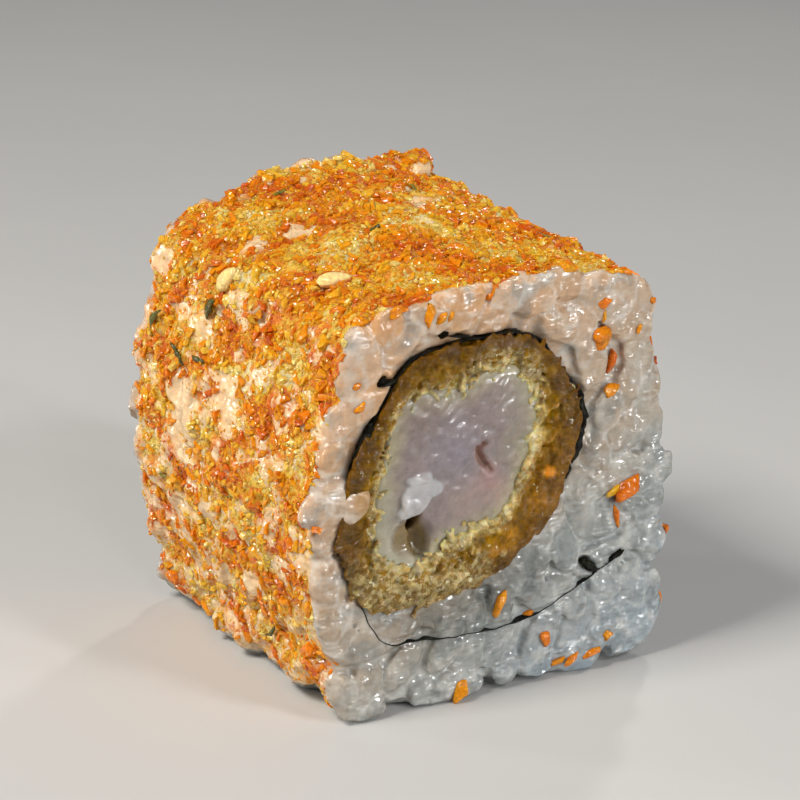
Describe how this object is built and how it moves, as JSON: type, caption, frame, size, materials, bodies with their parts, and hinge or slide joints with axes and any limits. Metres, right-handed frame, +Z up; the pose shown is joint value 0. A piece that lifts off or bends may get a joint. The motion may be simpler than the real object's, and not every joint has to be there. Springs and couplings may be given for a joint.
{
  "type": "inside-out sushi roll piece",
  "caption": "A piece of inside-out sushi roll: crumbed fried shrimp wound in nori and rice, its outside coated with orange and yellow seasoning flakes.",
  "frame": {"origin": "on the surface it rests on, under the middle of its outermost reach in X and Y", "axes": "+Z up, +Y along the roll's axis away from the cut face that the picture shows, +X across that face to its right"},
  "size_m": [0.0396, 0.0328, 0.0414],
  "materials": {
    "rice": "moist, glossy, slightly translucent",
    "nori": "moist, dark, slightly ragged",
    "crumb_coat": "craggy and oily",
    "flesh": "moist and translucent"
  },
  "bodies": {
    "root": {"rice": "rice", "nori": "nori", "crumb_coat": "crumb_coat", "flesh": "flesh"}
  },
  "joints": []
}
